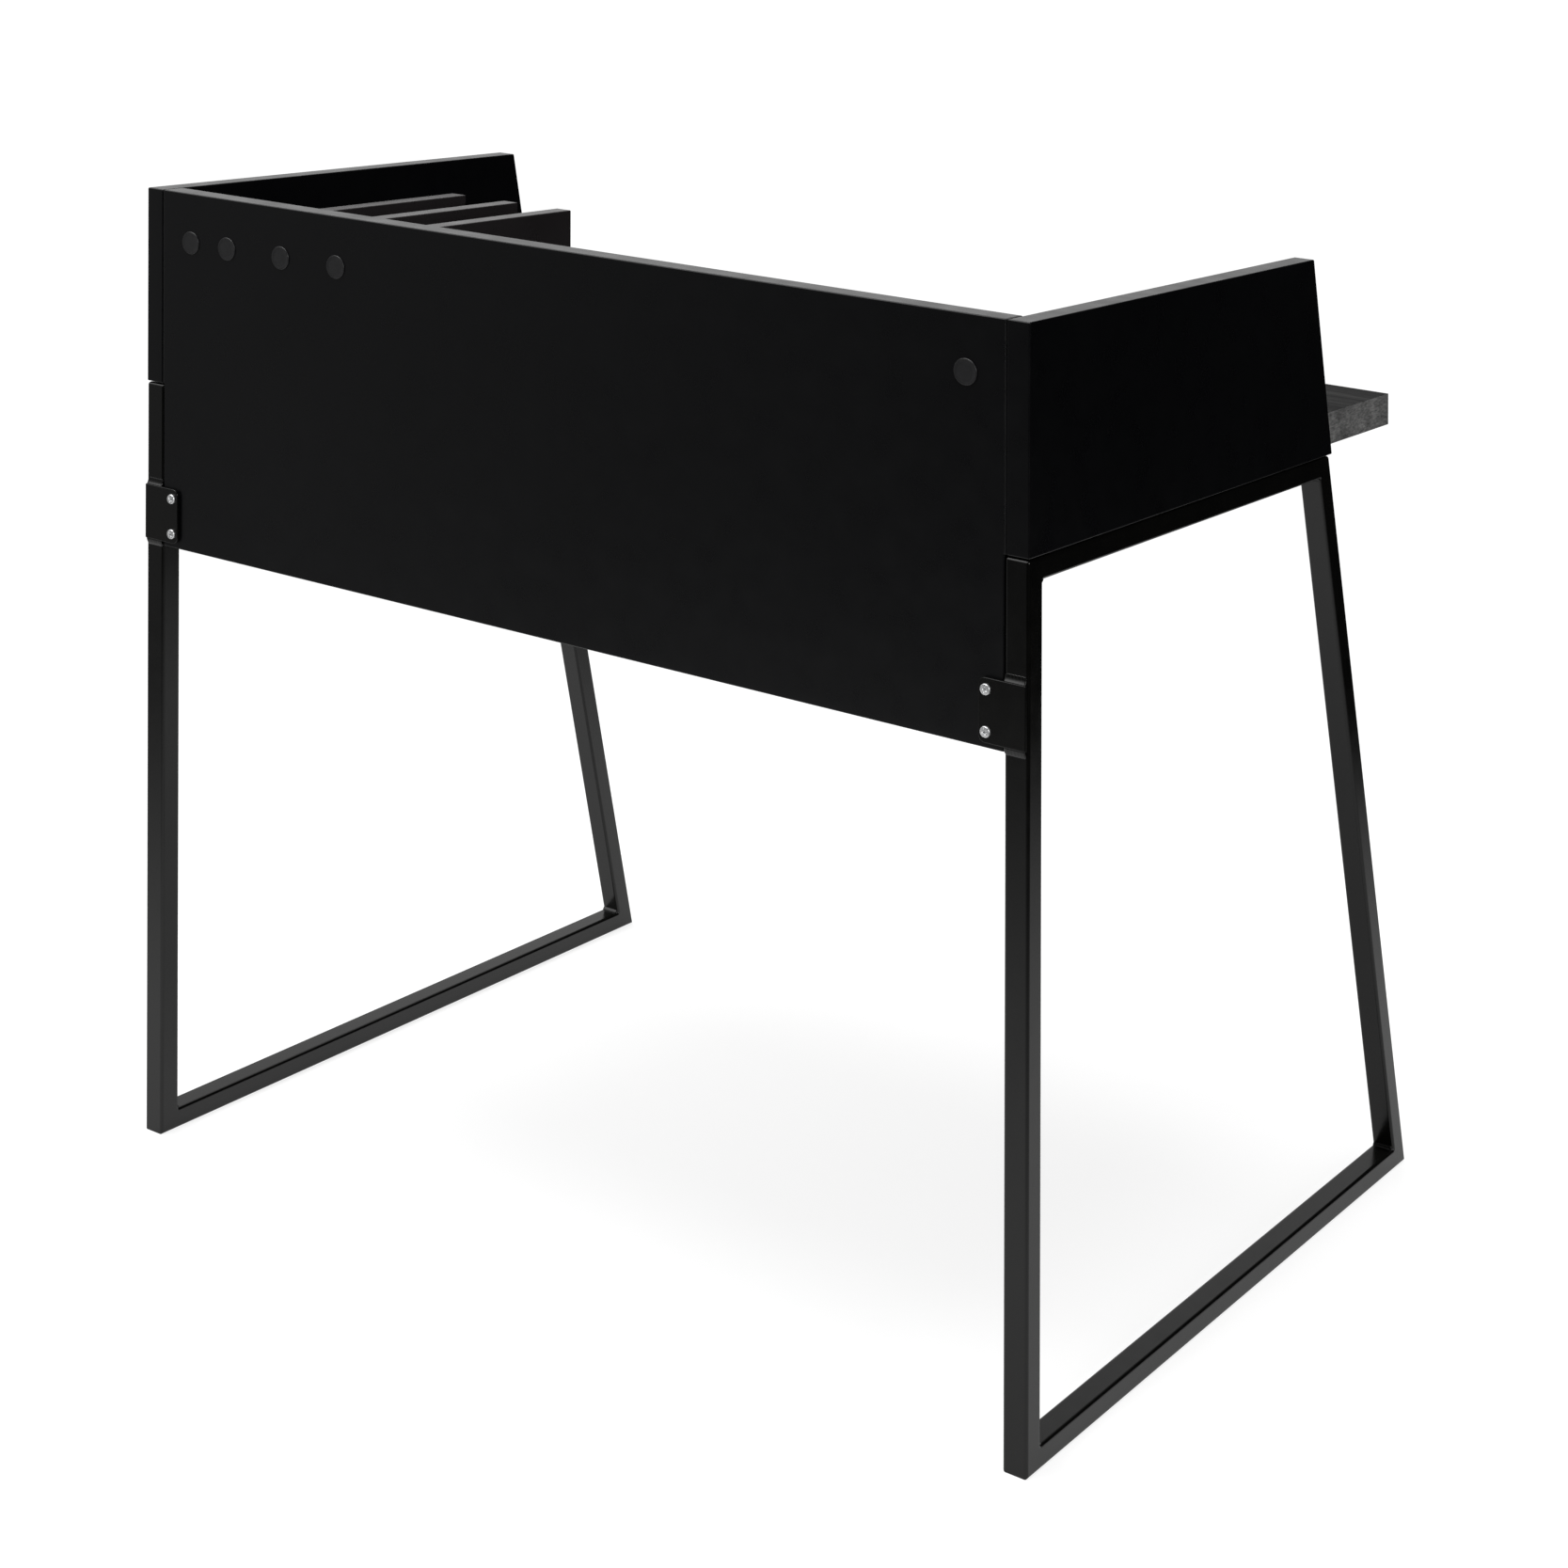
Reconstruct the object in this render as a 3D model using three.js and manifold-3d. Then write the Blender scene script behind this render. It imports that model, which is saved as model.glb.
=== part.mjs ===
// A compact writing and drawing desk: a charcoal wood-grain desktop boxed in by a raised
// back panel and two raised side panels, with three upright dividers, carried by two
// closed frames of welded square steel tube.
//
// Millimetres, +Z up. The user sits at the front, which faces -Y, and +X is at the user's
// right. Inside the desk group, y = 0 is the plane of the rear face. The group is moved so
// that the origin of the whole part is the centre of its footprint, on the floor.

import * as THREE from 'three';
import { mergeVertices } from 'three/addons/utils/BufferGeometryUtils.js';
import Module from 'manifold-3d';

const wasm = await Module();
wasm.setup();

// ---------------------------------------------------------------- driving dimensions

const WIDTH = 960;                 // over the outer faces of the two frames
const HALF = WIDTH / 2;
const FIT = 0.3;                   // gap left between faces that touch on the real desk

// Side frames: a rear leg that stands upright and a front leg that leans back.
const TUBE = 22;                   // square tube of the legs, and the width of the rails
const RAIL_HEIGHT = 18.5;          // height of the floor rail and the top rail
const TUBE_WALL = 1.5;
const TUBE_CORNER = 2.8;           // outer corner radius of the tube
const FRAME_HEIGHT = 709;
const FOOT_DEPTH = 735;            // from the rear face to the front foot
const FRAME_TOP_DEPTH = 554;       // from the rear face to the front leg's top

// The box of boards on the frames.
const SEAT_GAP = 1;                // air between a top rail and the boards, set by the seat tabs
const DESK_BOTTOM = FRAME_HEIGHT + SEAT_GAP;
const DESKTOP_THICKNESS = 30;
const DESKTOP_FRONT = 736.5;       // from the rear face to the desktop's front edge
const DESK_TOP = DESK_BOTTOM + DESKTOP_THICKNESS;
const PANEL_TOP = 893;
const SIDE_THICKNESS = 20;
const SIDE_TOP_DEPTH = 520;        // the side panel's front edge leans like the front leg
const SIDE_BOTTOM_DEPTH = 560;
const SIDE_INNER = HALF - SIDE_THICKNESS;
const BACK_THICKNESS = 25;
const BACK_BOTTOM = 557;
const BACK_HALF = SIDE_INNER - FIT;
const BACK_LOWER_HALF = HALF - TUBE - FIT; // it is notched to stand between the rear legs

// Dividers, from the right-hand side panel towards the middle.
const DIVIDER_THICKNESS = 18;
const DIVIDER_DEPTH = 305;
const DIVIDER_TOP = 873;
const DIVIDER_FIRST_X = 376;
const DIVIDER_PITCH = 68;
const DIVIDER_COUNT = 3;
const DIVIDER_BACK = BACK_THICKNESS + FIT;
const DOWEL_RADIUS = 4;
const DOWEL_LENGTH = 30;
const DOWEL_IN_PANEL = 12;         // how far a dowel goes into the back panel
const DOWEL_Z = 778;

// Fittings that hold the boards together.
const FITTING_Z = 847;             // height of the fittings along the top of the back panel
const END_CAM_X = 422.5;
const CAP_RADIUS = 10.6;
const CAP_THICKNESS = 1;
const CAM_RADIUS = 7.5;
const CAM_DEPTH = 14;              // depth of a cam's bore
const CAM_RECESS = 1.6;            // how far a cam lies below the board's face
const BOLT_INSET = 9.5;            // from the bored face to the axis of a cam bolt
const BOLT_RADIUS = 3.5;
const BOLT_THREAD = 11;            // length of a cam bolt inside the side panel
const DESK_CAM_X = SIDE_INNER - 34;
const DESK_CAM_YS = [-180, -400];

// Rear brackets, each welded to a rear leg and screwed to the back panel.
const BRACKET_THICKNESS = 3;
const BRACKET_INNER_X = 436.5;
const BRACKET_OUTER_X = HALF - 1.3;
const BRACKET_Z = 587.4;
const BRACKET_HEIGHT = 50.8;
const BRACKET_CORNER = 6;
const WELD_HEIGHT = 7;             // the weld runs out onto the leg above and below the plate
const BRACKET_SCREW_X = 443.5;
const BRACKET_SCREW_PITCH = 33;

// Seat tabs, welded to the inner side of the top rails a little above them. The desktop
// rests on the tabs and is screwed down from below.
const SEAT_TAB_INNER_X = 420;
const SEAT_TAB_OUTER_X = HALF - TUBE - FIT;
const SEAT_TAB_TOP = DESK_BOTTOM - FIT;
const SEAT_TAB_THICKNESS = 4;
const SEAT_TAB_LENGTH = 44;
const SEAT_TAB_YS = [-85, -495];
const SEAT_SCREW_X = 434;
const SEAT_SCREW_PITCH = 24;

// Screws.
const HEAD_RADIUS = 4.5;
const HEAD_HEIGHT = 2.2;
const SHANK_RADIUS = 1.9;
const SCREW_CLEARANCE = 0.35;      // radial room round a shank or a fitting in its hole
const ROUND_SEGMENTS = 12;
const CAP_SEGMENTS = 24;

const REARMOST = FIT + BRACKET_THICKNESS + FIT + HEAD_HEIGHT;

// ---------------------------------------------------------------- finishes

const finish = (color, roughness, metalness) =>
  new THREE.MeshStandardMaterial({ color, roughness, metalness });

const blackBoard = () => finish(0x101012, 0.55, 0);
const charcoalWood = () => finish(0x3a3a3b, 0.6, 0);
const blackSteel = () => finish(0x1c1c1c, 0.45, 0.2);
const capPlastic = () => finish(0x202020, 0.4, 0);
const zinc = () => finish(0xc9ccd0, 0.3, 1);
const beech = () => finish(0xc9a26b, 0.7, 0);

// ---------------------------------------------------------------- shape helpers

// Turns an outline drawn in (y, z) into a board or plate between two x positions.
function prismAlongX(shape, x0, x1) {
  const geometry = new THREE.ExtrudeGeometry(shape, { depth: x1 - x0, bevelEnabled: false });
  const axes = new THREE.Matrix4().makeBasis(
    new THREE.Vector3(0, 1, 0),
    new THREE.Vector3(0, 0, 1),
    new THREE.Vector3(1, 0, 0),
  );
  return geometry.applyMatrix4(axes).translate(x0, 0, 0);
}

// Turns an outline drawn in (x, z) into a plate between two y positions.
function prismAlongY(shape, y0, y1) {
  const geometry = new THREE.ExtrudeGeometry(shape, {
    depth: y1 - y0,
    bevelEnabled: false,
    curveSegments: 6,
  });
  return geometry.rotateX(Math.PI / 2).translate(0, y1, 0);
}

function polygon(points) {
  return new THREE.Shape(points.map(([a, b]) => new THREE.Vector2(a, b)));
}

function block([x0, x1], [y0, y1], [z0, z1]) {
  return new THREE.BoxGeometry(x1 - x0, y1 - y0, z1 - z0)
    .translate((x0 + x1) / 2, (y0 + y1) / 2, (z0 + z1) / 2);
}

// A round bar from one point to another.
function rod(radius, from, to) {
  const start = new THREE.Vector3(...from);
  const along = new THREE.Vector3(...to).sub(start);
  const length = along.length();
  return placed(
    new THREE.CylinderGeometry(radius, radius, length, ROUND_SEGMENTS).translate(0, length / 2, 0),
    start,
    along,
  );
}

// A turned piece: its profile is a list of [radius, height], its axis starts at a point.
function turned(profile, from, direction, segments = ROUND_SEGMENTS) {
  const points = profile.map(([radius, height]) => new THREE.Vector2(radius, height));
  return placed(
    new THREE.LatheGeometry(points, segments),
    new THREE.Vector3(...from),
    new THREE.Vector3(...direction),
  );
}

function placed(geometry, origin, direction) {
  const turn = new THREE.Quaternion().setFromUnitVectors(
    new THREE.Vector3(0, 1, 0),
    direction.clone().normalize(),
  );
  return geometry.applyQuaternion(turn).translate(origin.x, origin.y, origin.z);
}

function toSolid(geometry) {
  const bare = geometry.clone();
  bare.deleteAttribute('normal');
  bare.deleteAttribute('uv');
  const merged = mergeVertices(bare, 1e-4);
  return new wasm.Manifold(new wasm.Mesh({
    numProp: 3,
    vertProperties: new Float32Array(merged.attributes.position.array),
    triVerts: new Uint32Array(merged.index.array),
  }));
}

function toGeometry(solid) {
  const { vertProperties, triVerts } = solid.getMesh();
  const geometry = new THREE.BufferGeometry();
  geometry.setAttribute('position', new THREE.BufferAttribute(vertProperties, 3));
  geometry.setIndex(new THREE.BufferAttribute(triVerts, 1));
  geometry.computeVertexNormals();
  return geometry;
}

const withHoles = (body, cutters) =>
  toGeometry(cutters.map(toSolid).reduce((left, cutter) => left.subtract(cutter), toSolid(body)));

const joined = (first, second) => toGeometry(toSolid(first).add(toSolid(second)));

// Reverses a geometry whose faces point inwards, which a mirrored mapping leaves.
function facingOut(geometry) {
  const { position } = geometry.attributes;
  const corner = (i) => new THREE.Vector3().fromBufferAttribute(position, geometry.index.getX(i));
  let volume = 0;
  for (let i = 0; i < geometry.index.count; i += 3) {
    volume += corner(i).dot(corner(i + 1).cross(corner(i + 2)));
  }
  if (volume < 0) {
    geometry.index.array.reverse();
  }
  return geometry;
}

// ---------------------------------------------------------------- the group

const desk = new THREE.Group();
desk.position.y = (DESKTOP_FRONT - REARMOST) / 2;

const part = new THREE.Group();
part.name = 'writing_desk';
part.add(desk);

function addPiece(name, geometry, material) {
  const mesh = new THREE.Mesh(geometry, material);
  mesh.name = name;
  desk.add(mesh);
}

const SIDES = [['left', -1], ['right', 1]];
const dividerXs = Array.from(
  { length: DIVIDER_COUNT },
  (_, i) => DIVIDER_FIRST_X - i * DIVIDER_PITCH,
);

// ---------------------------------------------------------------- side frames

// The tube's section: across runs from 0 on the outside of the frame to 1 on its inside,
// and the other direction is x. The bore is square, as in thin-walled welded tube.
function tubeSection(depth) {
  const r = TUBE_CORNER;
  const half = TUBE / 2;
  const shape = new THREE.Shape();
  shape.moveTo(r, -half);
  shape.lineTo(depth - r, -half);
  shape.absarc(depth - r, -half + r, r, -Math.PI / 2, 0);
  shape.lineTo(depth, half - r);
  shape.absarc(depth - r, half - r, r, 0, Math.PI / 2);
  shape.lineTo(r, half);
  shape.absarc(r, half - r, r, Math.PI / 2, Math.PI);
  shape.lineTo(0, -half + r);
  shape.absarc(r, -half + r, r, Math.PI, 1.5 * Math.PI);
  const bore = half - TUBE_WALL;
  shape.holes.push(new THREE.Path([
    new THREE.Vector2(TUBE_WALL, -bore),
    new THREE.Vector2(TUBE_WALL, bore),
    new THREE.Vector2(depth - TUBE_WALL, bore),
    new THREE.Vector2(depth - TUBE_WALL, -bore),
  ]));
  return shape;
}

// A tube between two mitres. Each mitre runs from a corner of the frame's outer outline
// to the matching corner of its inner outline; both are [y, z] points.
function mitredTube(centreX, depth, start, end) {
  const geometry = mergeVertices(new THREE.ExtrudeGeometry(tubeSection(depth), {
    depth: 1,
    bevelEnabled: false,
    curveSegments: 3,
  }));
  geometry.deleteAttribute('normal');
  geometry.deleteAttribute('uv');
  const point = ([y, z]) => new THREE.Vector2(y, z);
  const along = point(end.outer).sub(point(start.outer)).normalize();
  const { position } = geometry.attributes;
  for (let i = 0; i < position.count; i += 1) {
    const across = position.getX(i) / depth;
    const atEnd = position.getZ(i) > 0.5;
    const mitre = atEnd ? end : start;
    const place = point(mitre.outer).lerp(point(mitre.inner), across);
    place.addScaledVector(along, atEnd ? -FIT / 1.5 : FIT / 1.5);
    position.setXYZ(i, centreX + position.getY(i), place.x, place.y);
  }
  return facingOut(geometry);
}

function sideFrame(side, sign) {
  const centreX = sign * (HALF - TUBE / 2);
  const lean = (FOOT_DEPTH - FRAME_TOP_DEPTH) / FRAME_HEIGHT;
  const frontInner = (z) => -FOOT_DEPTH + lean * z + TUBE * Math.hypot(1, lean);
  const lowInner = RAIL_HEIGHT;
  const highInner = FRAME_HEIGHT - RAIL_HEIGHT;
  const rearFoot = { outer: [0, 0], inner: [-TUBE, lowInner] };
  const frontFoot = { outer: [-FOOT_DEPTH, 0], inner: [frontInner(lowInner), lowInner] };
  const frontTop = {
    outer: [-FRAME_TOP_DEPTH, FRAME_HEIGHT],
    inner: [frontInner(highInner), highInner],
  };
  const rearTop = { outer: [0, FRAME_HEIGHT], inner: [-TUBE, highInner] };
  addPiece(`${side}_rear_leg`, mitredTube(centreX, TUBE, rearFoot, rearTop), blackSteel());
  addPiece(`${side}_front_leg`, mitredTube(centreX, TUBE, frontFoot, frontTop), blackSteel());
  addPiece(`${side}_floor_rail`, mitredTube(centreX, RAIL_HEIGHT, rearFoot, frontFoot), blackSteel());
  addPiece(`${side}_top_rail`, mitredTube(centreX, RAIL_HEIGHT, rearTop, frontTop), blackSteel());
}

// ---------------------------------------------------------------- screws and fittings

// A pan-head screw: the head stands on a surface at `from` and the shank goes against
// `outward` from there.
function panHeadScrew(from, outward, shankLength) {
  return turned([
    [0, -shankLength],
    [SHANK_RADIUS * 0.6, -shankLength + 1],
    [SHANK_RADIUS, -shankLength + 4],
    [SHANK_RADIUS, 0],
    [HEAD_RADIUS, 0],
    [HEAD_RADIUS, HEAD_HEIGHT * 0.35],
    [HEAD_RADIUS * 0.84, HEAD_HEIGHT * 0.76],
    [HEAD_RADIUS * 0.45, HEAD_HEIGHT * 0.96],
    [0, HEAD_HEIGHT],
  ], from, outward);
}

const bracketScrewZs = [BRACKET_Z - BRACKET_SCREW_PITCH / 2, BRACKET_Z + BRACKET_SCREW_PITCH / 2];
const BRACKET_SCREW_LENGTH = 22;
const SEAT_SCREW_LENGTH = 22;
const SEAT_SCREW_Z = SEAT_TAB_TOP - SEAT_TAB_THICKNESS - FIT;
const DIVIDER_SCREW_LENGTH = 52;
const DIVIDER_SCREW_HEAD_Y = -8;   // floor of the counterbore in the back panel
const DIVIDER_SCREW_RADIUS = 2.5;

const seatScrewPoints = (sign) => SEAT_TAB_YS.flatMap((y) => [
  [sign * SEAT_SCREW_X, y - SEAT_SCREW_PITCH / 2],
  [sign * SEAT_SCREW_X, y + SEAT_SCREW_PITCH / 2],
]);

// A blind hole for a screw or fitting, a little larger than what goes into it.
const hole = (radius, from, to) => rod(radius + SCREW_CLEARANCE, from, to);

function rearBracket(side, sign) {
  const bottom = BRACKET_Z - BRACKET_HEIGHT / 2;
  const top = BRACKET_Z + BRACKET_HEIGHT / 2;
  const inner = BRACKET_INNER_X;
  const r = BRACKET_CORNER;
  const outline = new THREE.Shape();
  outline.moveTo(BRACKET_OUTER_X, bottom);
  outline.lineTo(BRACKET_OUTER_X, top);
  outline.lineTo(inner + r, top);
  outline.absarc(inner + r, top - r, r, Math.PI / 2, Math.PI);
  outline.lineTo(inner, bottom + r);
  outline.absarc(inner + r, bottom + r, r, Math.PI, 1.5 * Math.PI);
  const rear = FIT + BRACKET_THICKNESS;
  const plate = prismAlongY(outline, FIT, rear);
  const weld = prismAlongX(polygon([
    [FIT, bottom - WELD_HEIGHT],
    [rear, bottom],
    [rear, top],
    [FIT, top + WELD_HEIGHT],
  ]), HALF - TUBE, BRACKET_OUTER_X);
  const holes = bracketScrewZs.map((z) =>
    hole(SHANK_RADIUS, [BRACKET_SCREW_X, -1, z], [BRACKET_SCREW_X, rear + 1, z]));
  const bracket = withHoles(joined(plate, weld), holes);
  if (sign < 0) {
    bracket.scale(-1, 1, 1);
    facingOut(bracket);
  }
  addPiece(`${side}_rear_bracket`, bracket, blackSteel());
  bracketScrewZs.forEach((z, i) => {
    const surface = [sign * BRACKET_SCREW_X, rear + FIT, z];
    const name = `${side}_bracket_screw_${i === 0 ? 'lower' : 'upper'}`;
    addPiece(name, panHeadScrew(surface, [0, 1, 0], BRACKET_SCREW_LENGTH), zinc());
  });
}

function seatTabs(side, sign) {
  const xs = [SEAT_TAB_INNER_X, SEAT_TAB_OUTER_X].map((x) => x * sign).sort((a, b) => a - b);
  const zs = [SEAT_TAB_TOP - SEAT_TAB_THICKNESS, SEAT_TAB_TOP];
  const names = ['rear', 'front'];
  SEAT_TAB_YS.forEach((y, i) => {
    const ys = [y - SEAT_TAB_LENGTH / 2, y + SEAT_TAB_LENGTH / 2];
    const holes = [-1, 1].map((end) => {
      const at = y + end * SEAT_SCREW_PITCH / 2;
      return hole(SHANK_RADIUS, [sign * SEAT_SCREW_X, at, zs[0] - 1], [sign * SEAT_SCREW_X, at, zs[1] + 1]);
    });
    addPiece(`${side}_${names[i]}_seat_tab`, withHoles(block(xs, ys, zs), holes), blackSteel());
  });
  seatScrewPoints(sign).forEach(([x, y], i) => {
    const surface = [x, y, SEAT_SCREW_Z];
    addPiece(`${side}_seat_screw_${i + 1}`, panHeadScrew(surface, [0, 0, -1], SEAT_SCREW_LENGTH), zinc());
  });
}

// A cam fitting's barrel, sunk into a board at `face` with its open side facing `outward`.
function camBarrel(face, outward) {
  const depth = CAM_DEPTH - FIT;
  const r = CAM_RADIUS;
  return turned([
    [0, -depth],
    [r - 0.5, -depth],
    [r, -depth + 0.5],
    [r, -CAM_RECESS - 0.5],
    [r - 0.5, -CAM_RECESS],
    [r * 0.4, -CAM_RECESS],
    [r * 0.3, -CAM_RECESS - 2],
    [0, -CAM_RECESS - 2],
  ], face, outward);
}

// A cam bolt: a collar at the side panel's inner face, a thread into that panel, and a
// shank with a ball-ended neck that reaches the cam.
function camBolt(sign, reach, y, z) {
  return turned([
    [0, -BOLT_THREAD],
    [2.4, -BOLT_THREAD],
    [2.4, 0],
    [BOLT_RADIUS, 0],
    [BOLT_RADIUS, reach - 7],
    [2, reach - 6.5],
    [2, reach - 3.5],
    [2.6, reach - 3],
    [2.6, reach - 1],
    [0, reach],
  ], [sign * SIDE_INNER, y, z], [-sign, 0, 0]);
}

const endCamReach = SIDE_INNER - END_CAM_X - CAM_RADIUS - FIT;
const deskCamReach = SIDE_INNER - DESK_CAM_X - CAM_RADIUS - FIT;
const DESK_BOLT_Z = DESK_BOTTOM + BOLT_INSET;

function camFittings(side, sign) {
  addPiece(`${side}_back_cam`, camBarrel([sign * END_CAM_X, 0, FITTING_Z], [0, 1, 0]), zinc());
  addPiece(`${side}_back_cam_bolt`, camBolt(sign, endCamReach, -BOLT_INSET, FITTING_Z), zinc());
  DESK_CAM_YS.forEach((y, i) => {
    const end = ['rear', 'front'][i];
    const face = [sign * DESK_CAM_X, y, DESK_BOTTOM];
    addPiece(`${side}_${end}_desktop_cam`, camBarrel(face, [0, 0, -1]), zinc());
    addPiece(`${side}_${end}_desktop_cam_bolt`, camBolt(sign, deskCamReach, y, DESK_BOLT_Z), zinc());
  });
}

// A round cover cap with a short plug, pushed into a bore from behind.
function coverCap(x) {
  const rear = FIT + CAP_THICKNESS;
  return turned([
    [0, -1],
    [5, -1],
    [5, FIT],
    [CAP_RADIUS, FIT],
    [CAP_RADIUS, rear - 0.35],
    [CAP_RADIUS - 0.35, rear],
    [0, rear],
  ], [x, 0, FITTING_Z], [0, 1, 0], CAP_SEGMENTS);
}

// ---------------------------------------------------------------- boards

function desktop() {
  const half = SIDE_INNER - FIT;
  const body = prismAlongY(polygon([
    [-half, DESK_BOTTOM],
    [half, DESK_BOTTOM],
    [half, DESK_TOP],
    [-half, DESK_TOP],
  ]), -DESKTOP_FRONT, -BACK_THICKNESS - FIT);
  const holes = [];
  for (const [, sign] of SIDES) {
    for (const y of DESK_CAM_YS) {
      const x = sign * DESK_CAM_X;
      holes.push(hole(CAM_RADIUS, [x, y, DESK_BOTTOM - 1], [x, y, DESK_BOTTOM + CAM_DEPTH]));
      holes.push(hole(BOLT_RADIUS, [sign * HALF, y, DESK_BOLT_Z], [x, y, DESK_BOLT_Z]));
    }
    for (const [x, y] of seatScrewPoints(sign)) {
      const depth = SEAT_SCREW_Z + SEAT_SCREW_LENGTH + 1;
      holes.push(hole(SHANK_RADIUS, [x, y, DESK_BOTTOM - 1], [x, y, depth]));
    }
  }
  addPiece('desktop', withHoles(body, holes), charcoalWood());
}

const DOWEL_REAR = DOWEL_IN_PANEL - BACK_THICKNESS;

function backPanel() {
  const body = prismAlongY(polygon([
    [-BACK_LOWER_HALF, BACK_BOTTOM],
    [BACK_LOWER_HALF, BACK_BOTTOM],
    [BACK_LOWER_HALF, DESK_BOTTOM],
    [BACK_HALF, DESK_BOTTOM],
    [BACK_HALF, PANEL_TOP],
    [-BACK_HALF, PANEL_TOP],
    [-BACK_HALF, DESK_BOTTOM],
    [-BACK_LOWER_HALF, DESK_BOTTOM],
  ]), -BACK_THICKNESS, 0);
  const holes = [];
  for (const [, sign] of SIDES) {
    const x = sign * END_CAM_X;
    holes.push(hole(CAM_RADIUS, [x, 1, FITTING_Z], [x, -CAM_DEPTH, FITTING_Z]));
    holes.push(hole(BOLT_RADIUS, [sign * HALF, -BOLT_INSET, FITTING_Z], [x, -BOLT_INSET, FITTING_Z]));
    for (const z of bracketScrewZs) {
      const screwX = sign * BRACKET_SCREW_X;
      holes.push(hole(SHANK_RADIUS, [screwX, 1, z], [screwX, -BRACKET_SCREW_LENGTH + 3, z]));
    }
  }
  for (const x of dividerXs) {
    holes.push(hole(CAM_RADIUS, [x, 1, FITTING_Z], [x, DIVIDER_SCREW_HEAD_Y, FITTING_Z]));
    holes.push(hole(DIVIDER_SCREW_RADIUS, [x, 1, FITTING_Z], [x, -BACK_THICKNESS - 1, FITTING_Z]));
    holes.push(hole(DOWEL_RADIUS, [x, DOWEL_REAR + 1, DOWEL_Z], [x, -BACK_THICKNESS - 1, DOWEL_Z]));
  }
  addPiece('back_panel', withHoles(body, holes), blackBoard());
}

function sidePanel(side, sign) {
  const outline = polygon([
    [0, DESK_BOTTOM],
    [0, PANEL_TOP],
    [-SIDE_TOP_DEPTH, PANEL_TOP],
    [-SIDE_BOTTOM_DEPTH, DESK_BOTTOM],
  ]);
  const inner = sign * SIDE_INNER;
  const [low, high] = [inner, sign * HALF].sort((a, b) => a - b);
  const threadEnd = inner + sign * (BOLT_THREAD + 1);
  const boltAxes = [[-BOLT_INSET, FITTING_Z], ...DESK_CAM_YS.map((y) => [y, DESK_BOLT_Z])];
  const holes = boltAxes.map(([y, z]) => hole(2.4, [inner - sign, y, z], [threadEnd, y, z]));
  addPiece(`${side}_side_panel`, withHoles(prismAlongX(outline, low, high), holes), blackBoard());
}

function divider(x, number) {
  const back = -DIVIDER_BACK;
  const body = block(
    [x - DIVIDER_THICKNESS / 2, x + DIVIDER_THICKNESS / 2],
    [back - DIVIDER_DEPTH, back],
    [DESK_TOP + FIT, DIVIDER_TOP],
  );
  const screwEnd = DIVIDER_SCREW_HEAD_Y - DIVIDER_SCREW_LENGTH - 1;
  const holes = [
    hole(DIVIDER_SCREW_RADIUS, [x, back + 1, FITTING_Z], [x, screwEnd, FITTING_Z]),
    hole(DOWEL_RADIUS, [x, back + 1, DOWEL_Z], [x, DOWEL_REAR - DOWEL_LENGTH - 1, DOWEL_Z]),
  ];
  addPiece(`divider_${number}`, withHoles(body, holes), blackBoard());
  addPiece(`divider_${number}_dowel`, rod(
    DOWEL_RADIUS,
    [x, DOWEL_REAR - DOWEL_LENGTH, DOWEL_Z],
    [x, DOWEL_REAR, DOWEL_Z],
  ), beech());
  addPiece(`divider_${number}_screw`, turned([
    [0, -DIVIDER_SCREW_LENGTH],
    [DIVIDER_SCREW_RADIUS * 0.5, -DIVIDER_SCREW_LENGTH + 1],
    [DIVIDER_SCREW_RADIUS, -DIVIDER_SCREW_LENGTH + 5],
    [DIVIDER_SCREW_RADIUS, 0],
    [5, 0],
    [5, 2],
    [4, 3],
    [0, 3],
  ], [x, DIVIDER_SCREW_HEAD_Y + FIT, FITTING_Z], [0, 1, 0]), zinc());
  addPiece(`divider_${number}_cap`, coverCap(x), capPlastic());
}

// ---------------------------------------------------------------- assembly

desktop();
backPanel();
for (const [side, sign] of SIDES) {
  sidePanel(side, sign);
  sideFrame(side, sign);
  rearBracket(side, sign);
  seatTabs(side, sign);
  camFittings(side, sign);
  addPiece(`${side}_corner_cap`, coverCap(sign * END_CAM_X), capPlastic());
}
dividerXs.forEach((x, i) => divider(x, i + 1));

export default part;
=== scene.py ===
"""A compact writing desk, seen from behind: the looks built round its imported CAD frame.

Lengths are metres in the part's own frame: +Z up, the user at -Y, the rear face at +Y.
"""

import math

import bmesh
import bpy
from mathutils import Matrix, Vector, noise


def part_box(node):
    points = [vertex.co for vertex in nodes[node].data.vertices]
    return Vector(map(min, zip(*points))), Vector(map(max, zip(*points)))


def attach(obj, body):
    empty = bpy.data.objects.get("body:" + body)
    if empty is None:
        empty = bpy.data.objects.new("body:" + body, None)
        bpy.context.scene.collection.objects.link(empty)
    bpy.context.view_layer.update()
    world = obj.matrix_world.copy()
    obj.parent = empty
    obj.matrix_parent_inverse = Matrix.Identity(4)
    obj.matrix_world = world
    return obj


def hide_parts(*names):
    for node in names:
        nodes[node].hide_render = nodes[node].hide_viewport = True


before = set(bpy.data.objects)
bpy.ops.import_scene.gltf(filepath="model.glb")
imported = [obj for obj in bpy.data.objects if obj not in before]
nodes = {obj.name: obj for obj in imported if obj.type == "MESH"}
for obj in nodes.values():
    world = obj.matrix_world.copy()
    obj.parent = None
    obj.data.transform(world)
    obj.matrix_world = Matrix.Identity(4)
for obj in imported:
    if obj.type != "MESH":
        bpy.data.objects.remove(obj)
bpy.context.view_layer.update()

MM = 0.001
SIDES = (("left", -1), ("right", 1))
DIVIDERS = (1, 2, 3)

# ---------------------------------------------------------------- camera

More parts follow.
